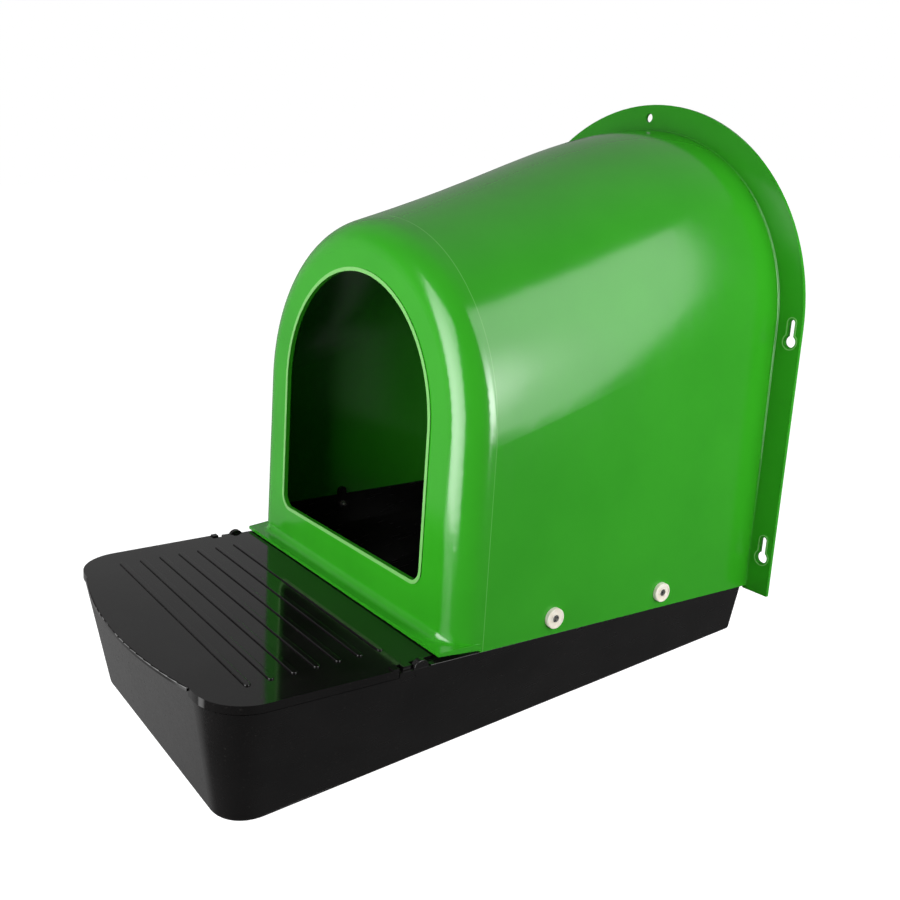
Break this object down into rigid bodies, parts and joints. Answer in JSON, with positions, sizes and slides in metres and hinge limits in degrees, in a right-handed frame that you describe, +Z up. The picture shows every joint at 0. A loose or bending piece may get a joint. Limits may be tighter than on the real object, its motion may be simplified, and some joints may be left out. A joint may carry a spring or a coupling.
{
  "type": "chicken nest box",
  "caption": "Wall-hung nest box for laying hens: an arched hood over a sloping tray that rolls eggs forward under a hinged, ribbed lid.",
  "frame": {"origin": "middle of the bounding box in plan, on the plane of the tray's flat underside", "axes": "+Z up with the tray standing on its underside, +Y from the lid back towards the wall flange, X across the box, which is symmetric about X = 0"},
  "size_m": [0.3768, 0.551, 0.4536],
  "materials": {
    "hood": "glossy green moulded plastic",
    "tray": "satin to glossy black moulded plastic",
    "lid": "glossy black moulded plastic",
    "nylon_washer": "natural nylon",
    "screw": "bright steel",
    "cap_nut": "bright steel"
  },
  "bodies": {
    "base": {"hood": "hood", "tray": "tray", "screw_right_front": "screw", "nylon_washer_right_front": "nylon_washer", "cap_nut_right_front": "cap_nut", "screw_right_rear": "screw", "nylon_washer_right_rear": "nylon_washer", "cap_nut_right_rear": "cap_nut", "screw_left_front": "screw", "nylon_washer_left_front": "nylon_washer", "cap_nut_left_front": "cap_nut", "screw_left_rear": "screw", "nylon_washer_left_rear": "nylon_washer", "cap_nut_left_rear": "cap_nut"},
    "lid": {"lid": "lid"}
  },
  "joints": [
    {"name": "lid_hinge", "type": "hinge", "parent": "base", "child": "lid", "pos_m": [0, -0.1127, 0.07894], "axis": [-1, 0, 0], "range_deg": [0, 98]}
  ]
}
